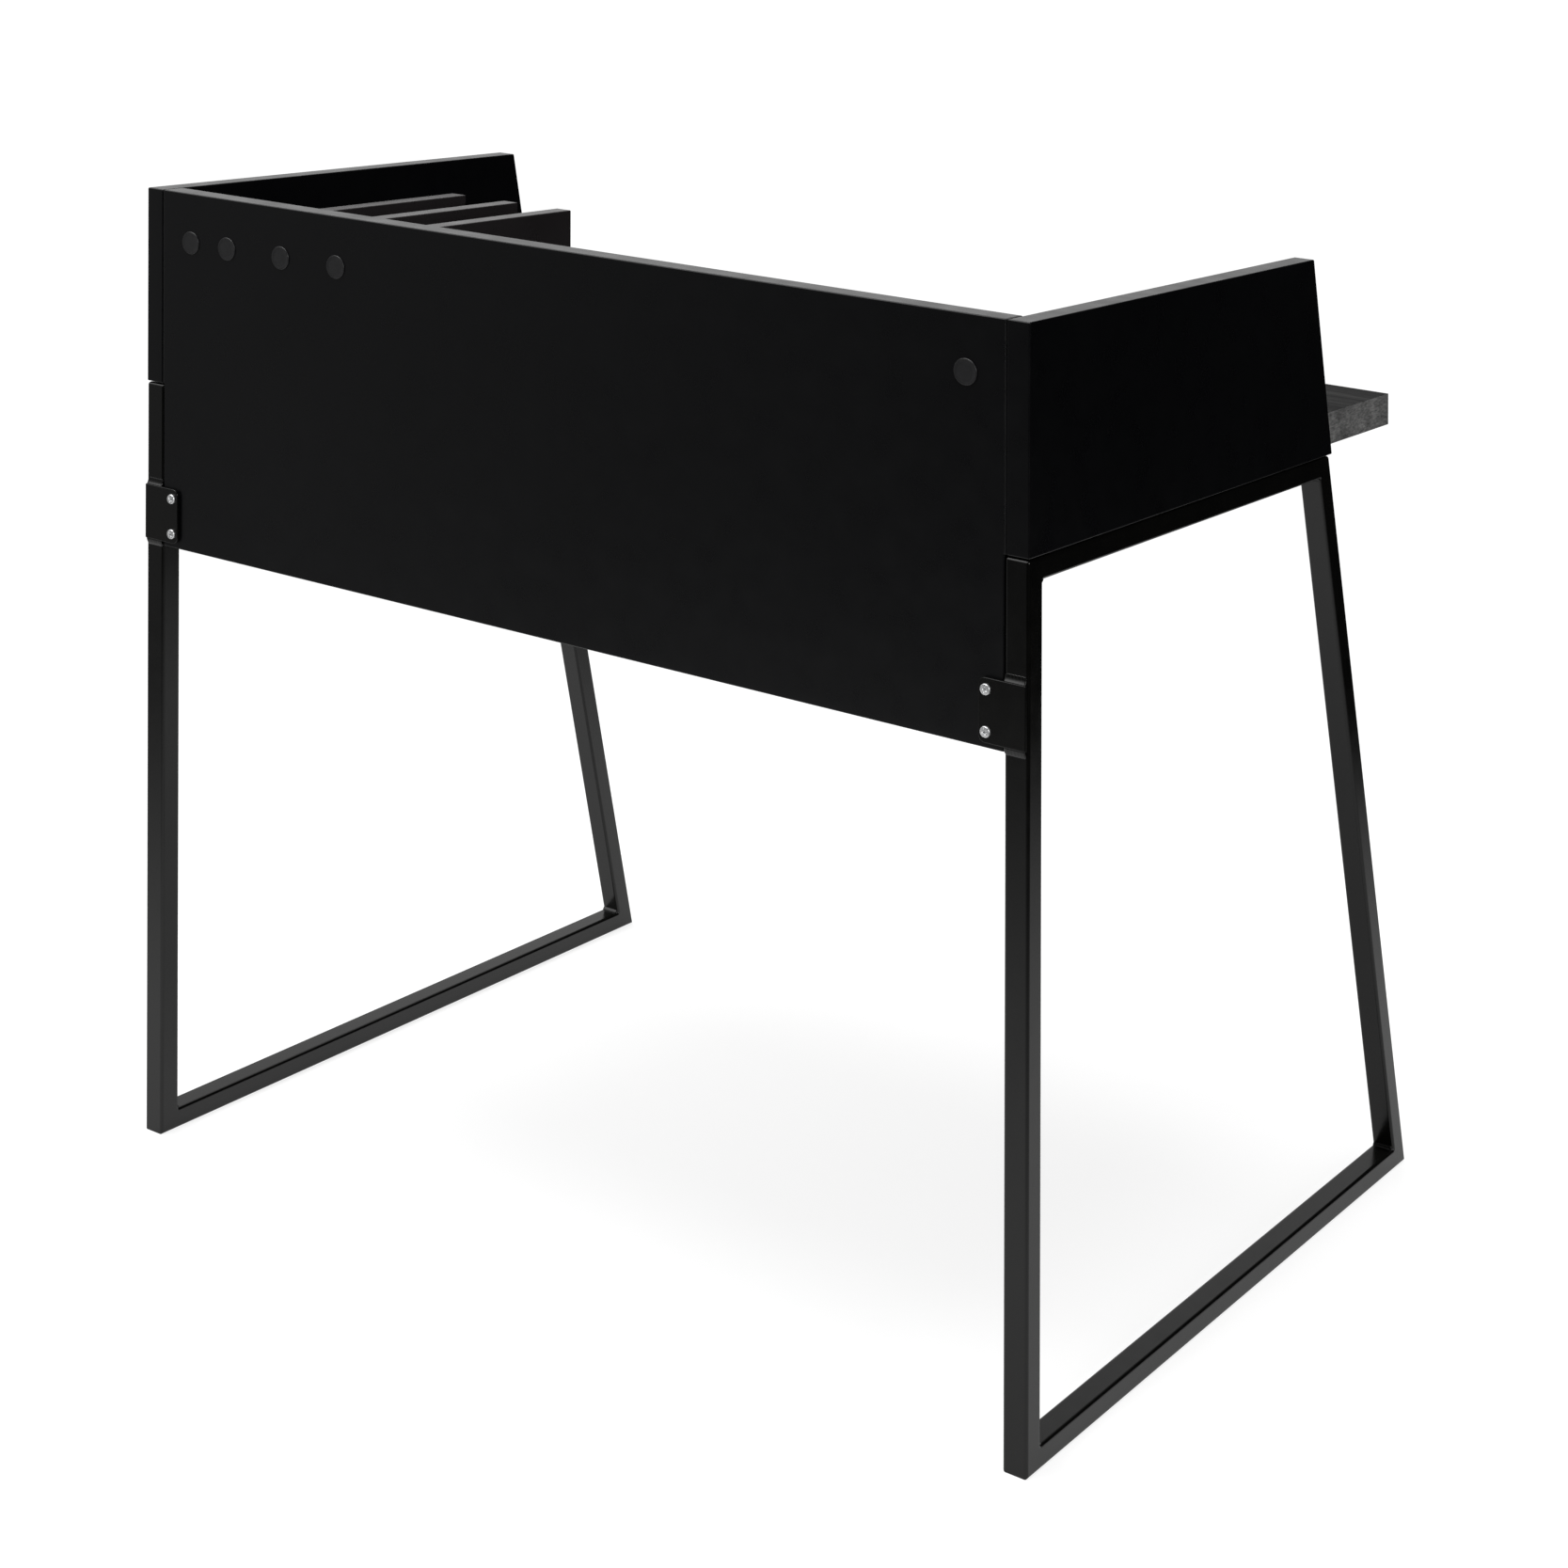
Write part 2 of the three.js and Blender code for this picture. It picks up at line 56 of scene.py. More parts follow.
SENSOR = 36                          # mm
LENS = 73.33                         # mm
HEADING = math.radians(34.389)       # turn of the view away from the desk's front-to-back line
ROLL = math.radians(0.157)
DROP = 0.3181                        # how far the lens is shifted down, as the tangent of an angle
SKEW = 0.0453                        # slight shear left by straightening the picture
CAMERA_PLACE = Vector((-1.6475, 2.4082, 1.2744))


def add_camera():
    """A shift lens: its picture plane stays upright while the picture lies below the axis.

    The shift is held in a rig's matrix, which a shear can enter, so that the camera's own
    shift stays zero and every other view is centred.
    """
    ahead = Vector((math.sin(HEADING), -math.cos(HEADING), 0))
    right = Vector((-math.cos(HEADING), -math.sin(HEADING), 0))
    up = right.cross(ahead)
    right_rolled = math.cos(ROLL) * right + math.sin(ROLL) * up
    up_rolled = math.cos(ROLL) * up - math.sin(ROLL) * right
    across = (right_rolled + SKEW * up_rolled).normalized()
    centre_ray = (ahead - DROP * up_rolled).normalized()
    rig_matrix = Matrix.Identity(4)
    for column, axis in enumerate((across, up_rolled, -centre_ray, CAMERA_PLACE)):
        for row in range(3):
            rig_matrix[row][column] = axis[row]
    data = bpy.data.cameras.new("camera")
    data.lens = LENS
    data.sensor_width = SENSOR
    data.clip_end = 30
    camera = bpy.data.objects.new("camera", data)
    rig = bpy.data.objects.new("camera_rig", None)
    for item in (camera, rig):
        bpy.context.scene.collection.objects.link(item)
    camera.parent = rig
    camera.matrix_parent_inverse = rig_matrix
    bpy.context.scene.camera = camera


# ---------------------------------------------------------------- materials

EDGE_BAND_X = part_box("back_panel")[1].x - 1.3 * MM
PAINTED_LIGHT_ZONE_X = 0.4                 # the dividers stand nearer the middle than this; their paler colour there is painted light
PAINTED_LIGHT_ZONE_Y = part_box("back_panel")[0].y - 0.5 * MM
SEEN_GLOW = 0.80                     # the floor's own light, as the camera sees it
REFLECTED_GLOW = 0.50                # and as the desk reflects it, close by
FLOOR_WHITE = 0.28
SEEN_WHITE = 1.05                    # the surround and the floor's rim, as the camera sees them


class Tree:
    """A short way to write a node tree."""

    def __init__(self, tree):
        self.tree = tree

    def add(self, kind, *links, **settings):
        """Adds a node; each link is a socket and the output or value that it takes."""
        node = self.tree.nodes.new(kind)
        for name, value in settings.items():
            setattr(node, name, value)
        for socket, source in links:
            self.set(node, socket, source)
        return node

    def set(self, node, socket, source):
        target = node.inputs[socket]
        if hasattr(source, "is_output"):
            self.tree.links.new(source, target)
        else:
            target.default_value = source

    def place(self, scale=(1, 1, 1)):
        """A point of the part in metres, stretched for the texture that reads it."""
        where = self.add("ShaderNodeTexCoord").outputs["Object"]
        return self.add("ShaderNodeMapping", ("Vector", where), ("Scale", scale)).outputs[0]

    def noise(self, vector, scale, detail=3.0, roughness=0.5, distortion=0.0):
        node = self.add(
            "ShaderNodeTexNoise",
            ("Vector", vector),
            ("Scale", scale),
            ("Detail", detail),
            ("Roughness", roughness),
            ("Distortion", distortion),
        )
        return node.outputs["Fac"]

    def remap(self, value, low, high, to_low, to_high):
        """Maps the range low to high onto to_low to to_high, and holds it there."""
        node = self.add(
            "ShaderNodeMapRange",
            ("Value", value),
            ("From Min", low),
            ("From Max", high),
            ("To Min", to_low),
            ("To Max", to_high),
        )
        return node.outputs["Result"]

    def ramp(self, value, stops):
        """A colour for each value, from stops of a position and a linear colour."""
        node = self.add("ShaderNodeValToRGB", ("Fac", value))
        elements = node.color_ramp.elements
        while len(elements) < len(stops):
            elements.new(0.5)
        for element, (position, colour) in zip(elements, stops):
            element.position = position
            element.color = (*colour, 1)
        return node.outputs["Color"]

    def math(self, operation, first, second=0.0):
        node = self.add("ShaderNodeMath", (0, first), (1, second), operation=operation)
        return node.outputs[0]

    def bump(self, height, strength, distance):
        node = self.add(
            "ShaderNodeBump",
            ("Height", height),
            ("Strength", strength),
            ("Distance", distance),
        )
        return node.outputs["Normal"]


def material(name, paint):
    """Makes a material and lets `paint` wire its Principled shader."""
    made = bpy.data.materials.new(name)
    made.use_nodes = True
    paint(Tree(made.node_tree), made.node_tree.nodes["Principled BSDF"])
    return made


def paint_black_board(t, shader):
    """Black melamine: a very dark sheet with a fine pearl texture.

    A fine joint shows where the edge band begins at each end of the back panel. The dividers are
    the same black board, given a paler colour as painted light for the light that falls on them.
    """
    at = t.place()
    parts = t.add("ShaderNodeSeparateXYZ", (0, at)).outputs
    sideways = t.math("ABSOLUTE", parts["X"])
    from_joint = t.math("ABSOLUTE", t.math("SUBTRACT", sideways, EDGE_BAND_X))
    joint = t.remap(from_joint, 0.15 * MM, 0.7 * MM, 0, 1)
    cloud = t.noise(at, 7, 4)
    fine = t.noise(at, 900, 2)
    board = t.ramp(cloud, [
        (0.3, (0.0013, 0.0014, 0.0019)),
        (0.7, (0.0021, 0.0022, 0.0028)),
    ])
    # painted light: a paler copy of the board's colour, standing in for the light on the dividers
    divider = t.ramp(cloud, [
        (0.3, (0.0180, 0.0158, 0.0166)),
        (0.7, (0.0240, 0.0212, 0.0222)),
    ])
    # where the painted light goes: over the dividers, in front of the back panel
    near_middle = t.math("LESS_THAN", sideways, PAINTED_LIGHT_ZONE_X)
    before_back = t.math("LESS_THAN", parts["Y"], PAINTED_LIGHT_ZONE_Y)
    painted_light_zone = t.math("MULTIPLY", near_middle, before_back)
    colour = t.add("ShaderNodeMix", (0, painted_light_zone), (6, board), (7, divider), data_type="RGBA")
    t.set(shader, "Base Color", colour.outputs[2])
    t.set(shader, "Roughness", t.remap(t.noise(at, 38, 5), 0.3, 0.7, 0.26, 0.32))
    t.set(shader, "Specular IOR Level", 0.36)
    height = t.math("ADD", t.math("MULTIPLY", fine, 0.016), joint)
    t.set(shader, "Normal", t.bump(height, 1.0, 0.8 * MM))


def paint_desktop_wood(t, shader):
    """Charcoal laminate: the grain runs from side to side, and along the edge at each end. The end
    faces get a much paler colour than the top, as painted light.
    """
    facing = t.add("ShaderNodeTexCoord").outputs["Normal"]
    sideways = t.math("ABSOLUTE", t.add("ShaderNodeSeparateXYZ", (0, facing)).outputs["X"])
    at_end = t.math("GREATER_THAN", sideways, 0.7)

    def grain(along_x, along_y):
        return t.add("ShaderNodeMix", (0, at_end), (2, along_x), (3, along_y)).outputs[0]

    fibres = grain(
        t.noise(t.place((1.6, 26, 26)), 9, 6, 0.62, 0.25),
        t.noise(t.place((26, 9, 34)), 14, 6, 0.66, 0.25),
    )
    pores = grain(
        t.noise(t.place((9, 420, 420)), 2.2, 3, 0.6),
        t.noise(t.place((420, 90, 420)), 2.2, 3, 0.6),
    )
    bands = t.noise(t.place((0.9, 9, 9)), 3.1, 2, 0.5, 0.6)
    tone = t.math("ADD", t.math("MULTIPLY", fibres, 0.62), t.math("MULTIPLY", bands, 0.38))
    dark = t.math("SUBTRACT", tone, t.math("MULTIPLY", t.remap(pores, 0.32, 0.5, 1, 0), 0.1))
    top = t.ramp(dark, [
        (0.30, (0.010, 0.010, 0.0104)),
        (0.47, (0.019, 0.019, 0.019)),
        (0.56, (0.029, 0.029, 0.0286)),
        (0.72, (0.046, 0.0455, 0.045)),
    ])
    # painted light: the end faces are coloured far paler than the top, standing in for the light
    # that falls on them
    end = t.ramp(dark, [
        (0.32, (0.070, 0.070, 0.070)),
        (0.48, (0.150, 0.150, 0.148)),
        (0.64, (0.270, 0.268, 0.264)),
    ])
    mix = t.add("ShaderNodeMix", (0, at_end), (6, top), (7, end), data_type="RGBA")
    t.set(shader, "Base Color", mix.outputs[2])
    t.set(shader, "Roughness", t.remap(fibres, 0.3, 0.7, 0.84, 0.92))
    t.set(shader, "Specular IOR Level", 0.04)
    t.set(shader, "Normal", t.bump(dark, 0.35, 0.12 * MM))


def paint_frame_steel(t, shader):
    """Black powder coat on steel: a soft gloss with a little orange peel."""
    at = t.place()
    peel = t.noise(at, 620, 2, 0.5)
    t.set(shader, "Base Color", t.ramp(t.noise(at, 24, 4), [
        (0.3, (0.0014, 0.0014, 0.0012)),
        (0.7, (0.0024, 0.0024, 0.0020)),
    ]))
    t.set(shader, "Roughness", t.remap(t.noise(at, 60, 4), 0.3, 0.7, 0.18, 0.24))
    t.set(shader, "Specular IOR Level", 0.42)
    t.set(shader, "Normal", t.bump(peel, 0.3, 0.06 * MM))


def paint_cap_plastic(t, shader):
    """Black moulded plastic, a little glossier than the boards."""
    at = t.place()
    t.set(shader, "Base Color", t.ramp(t.noise(at, 300, 3), [
        (0.3, (0.017, 0.017, 0.018)),
        (0.7, (0.022, 0.022, 0.023)),
    ]))
    t.set(shader, "Roughness", t.remap(t.noise(at, 500, 3), 0.3, 0.7, 0.30, 0.40))
    t.set(shader, "Normal", t.bump(t.noise(at, 1500, 2), 0.15, 0.03 * MM))


def paint_zinc(t, shader):
    """Bright zinc plate with small streaks and dull patches."""
    at = t.place()
    t.set(shader, "Metallic", 0.8)
    t.set(shader, "Base Color", t.ramp(t.noise(at, 420, 4, 0.6), [
        (0.3, (0.80, 0.81, 0.82)),
        (0.7, (0.95, 0.96, 0.96)),
    ]))
    t.set(shader, "Roughness", t.remap(t.noise(at, 900, 4), 0.3, 0.7, 0.30, 0.40))
    t.set(shader, "Normal", t.bump(t.noise(at, 1300, 3), 0.2, 0.03 * MM))


def paint_beech(t, shader):
    """Plain beech with fine flecks along the dowel."""
    grain = t.noise(t.place((300, 14, 300)), 3, 5, 0.6, 0.3)
    t.set(shader, "Base Color", t.ramp(grain, [
        (0.3, (0.42, 0.27, 0.14)),
        (0.7, (0.68, 0.50, 0.30)),
    ]))
    t.set(shader, "Roughness", t.remap(grain, 0.3, 0.7, 0.6, 0.75))
    t.set(shader, "Normal", t.bump(grain, 0.3, 0.1 * MM))


def paint_floor(t, shader):
    """Pale studio floor, bright enough to join the white surround.

    Its glow, as the desk reflects it, fades away from the desk, and its white colour fades to
    black beyond it: a painted pool of light round the desk.
    """
    at = t.place()
    mist = t.noise(at, 3, 2)
    away = t.add("ShaderNodeVectorMath", (0, at), operation="LENGTH").outputs["Value"]
    beyond = t.remap(away, 0.9, 1.9, 0, 1)
    # painted shade: the floor's white falls to black away from the desk
    white = t.remap(beyond, 0, 1, FLOOR_WHITE, 0)
    t.set(shader, "Base Color", t.math("MULTIPLY", white, t.remap(mist, 0.3, 0.7, 0.98, 1.02)))
    t.set(shader, "Roughness", t.remap(mist, 0.3, 0.7, 0.85, 0.9))
    t.set(shader, "Specular IOR Level", 0.0)
    t.set(shader, "Emission Color", (1, 1, 1, 1))
    from_side = t.add(
        "ShaderNodeVectorMath", (0, at), (1, (0.4, 0.2, 0)), operation="DISTANCE"
    ).outputs["Value"]
    reflected = t.remap(from_side, 0.6, 2.4, REFLECTED_GLOW, 0.0)
    direct = t.remap(beyond, 0, 1, SEEN_GLOW, SEEN_WHITE)
    seen = t.add("ShaderNodeLightPath").outputs["Is Camera Ray"]
    both = t.add("ShaderNodeMix", (0, seen), (2, reflected), (3, direct))
    t.set(shader, "Emission Strength", both.outputs[0])


BLACK_BOARD = material("black_board", paint_black_board)
DESKTOP_WOOD = material("desktop_wood", paint_desktop_wood)
FRAME_STEEL = material("frame_steel", paint_frame_steel)
CAP_PLASTIC = material("cap_plastic", paint_cap_plastic)
ZINC = material("zinc_steel", paint_zinc)
BEECH = material("dowel_wood", paint_beech)
FLOOR = material("floor", paint_floor)

# ---------------------------------------------------------------- helpers for pieces


SHARP = math.radians(45)             # edges that turn more than this are rounded


def dress(node, finish, edge=0.0):
    """Gives a CAD node its finish and, with modifiers, small rounded edges."""
    item = nodes[node]
    item.data.materials.clear()
    item.data.materials.append(finish)
    if not edge:
        return
    weld = item.modifiers.new("weld", "WELD")
    weld.merge_threshold = 0.01 * MM
    flatten = item.modifiers.new("flatten", "DECIMATE")
    flatten.decimate_type = "DISSOLVE"
    flatten.angle_limit = math.radians(1)
    round_over(item, edge)


def round_over(item, edge):
    """Rounds the sharp edges of a piece with a radius of about `edge`."""
    bevel = item.modifiers.new("edge", "BEVEL")
    bevel.width = edge
    bevel.segments = 3
    bevel.limit_method = "ANGLE"
    bevel.angle_limit = SHARP
    bevel.use_clamp_overlap = False
    weigh(item)


def weigh(item):
    """Keeps flat faces flat in the shading, so that only the rounded edges turn."""
    for polygon in item.data.polygons:
        polygon.use_smooth = True
    normals = item.modifiers.new("normals", "WEIGHTED_NORMAL")
    normals.weight = 100
    normals.keep_sharp = True


def piece(name, bm, finish, slot, *replaced):
    """Turns a bmesh into a piece of the desk that stands for the CAD nodes named."""
    bmesh.ops.recalc_face_normals(bm, faces=bm.faces)
    mesh = bpy.data.meshes.new(name)
    bm.to_mesh(mesh)
    bm.free()
    mesh.materials.append(finish)
    item = bpy.data.objects.new(name, mesh)
    bpy.context.scene.collection.objects.link(item)
    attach(item, "root")
    if replaced:
        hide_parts(*replaced)
    return item


def bridge(bm, loops, closed=False):
    """Joins rings of vertices, each with the same number, by quads."""
    pairs = list(zip(loops, loops[1:]))
    if closed:
        pairs.append((loops[-1], loops[0]))
    for first, second in pairs:
        count = len(first)
        for i in range(count):
            j = (i + 1) % count
            bm.faces.new((first[i], first[j], second[j], second[i]))


# ---------------------------------------------------------------- side frames

TUBE_CORNER = 2.8 * MM               # outer corner radius of the tube
# The outer corners of a frame: front foot, rear foot, rear shoulder, front shoulder.
OUTER_CORNERS = (0.8 * MM, 0.8 * MM, 3 * MM, 2 * MM)
LEAST_CORNER = 0.3 * MM
WELD_CORNER = 1.2 * MM               # the weld fills each inner corner
WELD_REACH = 3.4 * MM                # the legs of its bead
CORNER_STEPS = 6
SECTION_STEPS = 6


def offset_corners(corners, depths):
    """Moves each side of a polygon inwards by its own depth and gives the new corners.

    Side i runs from corner i to corner i + 1, with the inside on its left.
    """
    lines = []
    for i, start in enumerate(corners):
        along = (corners[(i + 1) % len(corners)] - start).normalized()
        inwards = Vector((-along.y, along.x))
        lines.append((start + inwards * depths[i], along))
    moved = []
    for i, (point, along) in enumerate(lines):
        before, before_along = lines[i - 1]
        gap = point - before
        cross = before_along.x * along.y - before_along.y * along.x
        reach = (gap.x * along.y - gap.y * along.x) / cross
        moved.append(before + before_along * reach)
    return moved


def rounded(corners, radii, steps=CORNER_STEPS):
    """Replaces each corner of a convex polygon by an arc of its own radius."""
    path = []
    count = len(corners)
    for i, (corner, radius) in enumerate(zip(corners, radii)):
        back = (corners[i - 1] - corner).normalized()
        forth = (corners[(i + 1) % count] - corner).normalized()
        half = back.angle(forth) / 2
        centre = corner + (back + forth).normalized() * (radius / math.sin(half))
        first = corner + back * (radius / math.tan(half)) - centre
        last = corner + forth * (radius / math.tan(half)) - centre
        sweep = math.pi - 2 * half
        for step in range(steps + 1):
            part = step / steps
            weight_first = math.sin((1 - part) * sweep) / math.sin(sweep)
            weight_last = math.sin(part * sweep) / math.sin(sweep)
            path.append(centre + first * weight_first + last * weight_last)
    return path


def frame_outline(side):
    """Corners of a frame's outer outline in (y, z), anticlockwise, and each tube's depth."""
    leg_lo, leg_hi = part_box(f"{side}_rear_leg")
    floor_lo, floor_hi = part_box(f"{side}_floor_rail")
    top_lo, top_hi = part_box(f"{side}_top_rail")
    rear = leg_hi.y
    leg = leg_hi.x - leg_lo.x
    rail = floor_hi.z - floor_lo.z
    corners = [
        Vector((floor_lo.y, floor_lo.z)),
        Vector((rear, floor_lo.z)),
        Vector((rear, top_hi.z)),
        Vector((top_lo.y, top_hi.z)),
    ]
    return corners, [rail, leg, rail, leg]


def tube_loops(corners, depths, half_width):
    """Rings round a frame, one for each point of the tube's rounded section."""
    arc = []
    for step in range(SECTION_STEPS + 1):
        angle = math.pi / 2 * step / SECTION_STEPS
        sunk = TUBE_CORNER * (1 - math.cos(angle))
        arc.append((sunk, half_width - TUBE_CORNER * (1 - math.sin(angle))))
    rings = []
    for inner, sign, points in ((0, 1, arc), (1, 1, arc[::-1]), (1, -1, arc), (0, -1, arc[::-1])):
        for sunk, x in points:
            if inner:
                inner_corners = offset_corners(corners, [depth - sunk for depth in depths])
                ring = rounded(inner_corners, [WELD_CORNER + sunk] * 4)
            else:
                ring = rounded(
                    offset_corners(corners, [sunk] * 4),
                    [max(radius - sunk, LEAST_CORNER) for radius in OUTER_CORNERS],
                )
            rings.append((sign * x, ring))
    return rings


def weld_bead(bm, start, end, rise, spread, pitch=1.6 * MM, bulge=0.1):
    """A rippled fillet of weld along a corner, with legs `rise` and `spread` from it."""
    length = (end - start).length
    steps = max(8, int(length / pitch * 5))
    rings = []
    for step in range(steps + 1):
        part = step / steps
        along = start.lerp(end, part)
        ripple = 0.975 + 0.025 * math.sin(2 * math.pi * part * length / pitch)
        ripple += 0.02 * noise.noise(along * 400)
        taper = min(1.0, 0.75 + 4 * part, 0.75 + 4 * (1 - part))
        size = ripple * taper
        ring = [bm.verts.new(along - 0.1 * (rise + spread))]
        for turn in range(9):
            chord = 1 - turn / 8
            out = bulge * math.sin(math.pi * turn / 8)
            point = rise * (chord + out) + spread * (1 - chord + out)
            if turn in (0, 8):
                point = point - 0.06 * (spread if turn == 0 else rise)
            ring.append(bm.verts.new(along + point * size))
        rings.append(ring)
    bridge(bm, rings)
    bm.faces.new(rings[0])
    bm.faces.new(rings[-1])


def build_side_frame(side):
    """A closed frame of square tube, with a weld bead in each inner corner."""
    corners, depths = frame_outline(side)
    lo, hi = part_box(f"{side}_rear_leg")
    centre_x = (lo.x + hi.x) / 2
    half_width = (hi.x - lo.x) / 2
    bm = bmesh.new()
    loops = [
        [bm.verts.new((centre_x + x, point.x, point.y)) for point in ring]
        for x, ring in tube_loops(corners, depths, half_width)
    ]
    bridge(bm, loops, closed=True)
    inner = offset_corners(corners, depths)
    for i, corner in enumerate(inner):
        back = (inner[i - 1] - corner).normalized()
        forth = (inner[(i + 1) % 4] - corner).normalized()
        bead_half = half_width - WELD_CORNER
        weld_bead(
            bm,
            Vector((centre_x - bead_half, corner.x, corner.y)),
            Vector((centre_x + bead_half, corner.x, corner.y)),
            Vector((0, back.x, back.y)) * WELD_REACH,
            Vector((0, forth.x, forth.y)) * WELD_REACH,
            bulge=0.02,
        )
    item = piece(
        f"{side}_side_frame",
        bm,
        FRAME_STEEL,
        "frame_steel",
        f"{side}_rear_leg",
        f"{side}_front_leg",
        f"{side}_floor_rail",
        f"{side}_top_rail",
    )
    weigh(item)


# ---------------------------------------------------------------- rear brackets

PLATE_CORNER = 6 * MM
PLATE_EDGE = 0.5 * MM
CORNER_ARC = 10                      # steps round a corner of the plate
WELD_HEIGHT = 7 * MM
WELD_INSET = 0.6 * MM                # how far a weld stops short of the sides of the leg
PLATE_GAP = 0.3 * MM                 # between the leg and the plate


def build_bracket(side, sign):
    """A flat plate with two rounded corners, and a weld above and below it on the leg."""
    lo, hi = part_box(f"{side}_rear_bracket")
    leg_lo, leg_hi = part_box(f"{side}_rear_leg")
    bottom = lo.z + WELD_HEIGHT
    top = hi.z - WELD_HEIGHT
    outer = hi.x if sign > 0 else lo.x
    inner = lo.x if sign > 0 else hi.x
    outline = [Vector((outer, bottom)), Vector((outer, top))]
    for centre_z, begin in ((top - PLATE_CORNER, 90), (bottom + PLATE_CORNER, 180)):
        for step in range(CORNER_ARC + 1):
            angle = math.radians(begin + 90 / CORNER_ARC * step)
            outline.append(Vector((
                inner + sign * PLATE_CORNER * (1 + math.cos(angle)),
                centre_z + PLATE_CORNER * math.sin(angle),
            )))
    bm = bmesh.new()
    front = [bm.verts.new((p.x, lo.y, p.y)) for p in outline]
    back = [bm.verts.new((p.x, hi.y, p.y)) for p in outline]
    bridge(bm, [front, back])
    bm.faces.new(front)
    bm.faces.new(back)
    item = piece(
        f"{side}_bracket_plate", bm, FRAME_STEEL, "frame_steel", f"{side}_rear_bracket"
    )
    round_over(item, PLATE_EDGE)
    bm = bmesh.new()
    leg_inner = leg_lo.x if sign > 0 else leg_hi.x
    ends = sorted((outer - sign * WELD_INSET, leg_inner + sign * WELD_INSET))
    thickness = Vector((0, hi.y - leg_hi.y - PLATE_GAP, 0))
    for edge, rise in ((top, WELD_HEIGHT), (bottom, -WELD_HEIGHT)):
        weld_bead(
            bm,
            Vector((ends[0], leg_hi.y, edge)),
            Vector((ends[1], leg_hi.y, edge)),
            Vector((0, 0, rise)),
            thickness,
            pitch=3.1 * MM,
            bulge=-0.12 if rise > 0 else 0.1,
        )
    welds = piece(f"{side}_bracket_welds", bm, FRAME_STEEL, "frame_steel")
    weigh(welds)


# ---------------------------------------------------------------- screws and caps

CROSS_ARM = 2.7 * MM
CROSS_WIDTH = 0.62 * MM
CROSS_DEPTH = 1.6 * MM
HEAD_HEIGHT = 2.2 * MM
HEAD_SIDES = 72
HEAD_RINGS = 27
SHANK_RADIUS = 1.9 * MM
# The tip of a screw: each ring's share of the shank's radius, and its distance from the point.
TIP = ((0.3, 0.0), (0.7, 2 * MM), (1.0, 5 * MM))
CAP_SIDES = 64
STEM_RADIUS = 5 * MM
STEM_CHAMFER = 0.4 * MM
SEAT_GAP = 0.02 * MM                 # between the cap's flange and the panel
RIM_RADIUS = 0.6 * MM
RIM_WIDTH = 1.5 * MM


def head_profile(across, radius, height):
    """Height of a pan head's surface at a distance from its axis."""
    edge = 0.86 * radius
    if across <= edge:
        return height * (1 - 0.10 * (across / edge) ** 2)
    part = (across - edge) / (radius - edge)
    return height * (0.9 - 0.62 * (1 - math.sqrt(max(0.0, 1 - part * part))))


def recess_depth(x, y):
    """Depth of the cross recess: two crossed slots that narrow and rise towards their tips."""
    u, v = sorted((abs(x), abs(y)))
    length = v / CROSS_ARM
    if length >= 1:
        return 0.0
    wall = CROSS_WIDTH * (1 - 0.25 * length)
    side = min(1.0, max(0.0, (wall + 0.16 * MM - u) / (0.32 * MM)))
    side = side * side * (3 - 2 * side)
    return CROSS_DEPTH * side * (1 - length ** 2.4)


def build_screw(name, node, outward, turn_degrees):
    """A pan-head screw with a cross recess, in the place of a CAD screw."""
    lo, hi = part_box(node)
    axis = Vector(outward)
    pick = [i for i in range(3) if abs(axis[i]) > 0.5][0]
    centre = (lo + hi) / 2
    radius = (hi.x - lo.x) / 2
    top = hi[pick] if axis[pick] > 0 else lo[pick]
    centre[pick] = top - axis[pick] * HEAD_HEIGHT
    length = hi[pick] - lo[pick] - HEAD_HEIGHT
    helper = Vector((0, 0, 1)) if abs(axis.z) < 0.5 else Vector((1, 0, 0))
    spin = Matrix.Rotation(math.radians(turn_degrees), 3, axis)
    right = spin @ helper.cross(axis)
    up = spin @ helper
    bm = bmesh.new()
    rings = []

    def ring(distance, level, recess=False):
        made = []
        for step in range(HEAD_SIDES):
            angle = 2 * math.pi * step / HEAD_SIDES
            x, y = distance * math.cos(angle), distance * math.sin(angle)
            sunk = recess_depth(x, y) if recess else 0
            made.append(bm.verts.new(centre + right * x + up * y + axis * (level - sunk)))
        rings.append(made)

    for share, from_point in TIP:
        ring(share * SHANK_RADIUS, from_point - length)
    ring(SHANK_RADIUS, 0)
    ring(radius * 0.97, 0)
    ring(radius, 0.15 * MM)
    for step in range(HEAD_RINGS):
        distance = radius * (1 - step / HEAD_RINGS)
        ring(distance, head_profile(distance, radius, HEAD_HEIGHT), recess=True)
    bridge(bm, rings)
    bm.faces.new(rings[0])
    bm.faces.new(rings[-1])
    item = piece(name, bm, ZINC, "zinc_steel", node)
    weigh(item)


